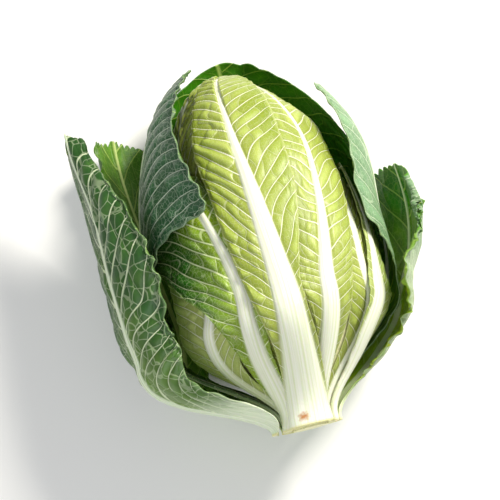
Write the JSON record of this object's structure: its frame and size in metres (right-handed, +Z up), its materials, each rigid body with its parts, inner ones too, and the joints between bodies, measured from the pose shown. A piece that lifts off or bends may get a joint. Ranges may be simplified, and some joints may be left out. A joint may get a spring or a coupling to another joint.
{
  "type": "napa cabbage",
  "caption": "Oblong head of napa cabbage lying on its back: pale cut stalk, yellow-green heart and loose, ruffled dark green outer leaves.",
  "frame": {"origin": "on the surface the head lies on, at the middle of the bounding box's bottom face", "axes": "+Z up from the surface, through the front leaf of the heart; +Y along the head from the cut stalk to the leaf tips; +X to the right seen from above with the cut stalk nearest"},
  "size_m": [0.2702, 0.3138, 0.161],
  "materials": {
    "heart": "crisp living stalk and packed leaf bases, cream to pale yellow-green, satin",
    "heart_leaf": "living leaf, pale yellow-green with white midrib, blistered, waxy satin",
    "light_leaf": "living leaf, yellow-green with white midrib, blistered, waxy satin",
    "green_leaf": "living leaf, mid green, paler and duller on its back, pale net veins, waxy satin",
    "deep_leaf": "living leaf, dark green, paler and duller on its back, pale net veins, waxy satin"
  },
  "bodies": {
    "root": {"stem_and_heart": "heart", "heart_leaf_front": "heart_leaf", "heart_leaf_right": "heart_leaf", "heart_leaf_right_inner": "heart_leaf", "heart_leaf_left_pleated": "heart_leaf", "leaf_right_stalk": "light_leaf", "leaf_lower_left": "light_leaf", "leaf_middle_left": "green_leaf", "leaf_upper_left": "green_leaf", "leaf_right_rolled": "green_leaf", "leaf_left_behind": "green_leaf", "leaf_outer_right": "green_leaf", "leaf_back_top": "deep_leaf", "leaf_under_head": "deep_leaf", "leaf_outer_left": "deep_leaf"}
  },
  "joints": []
}
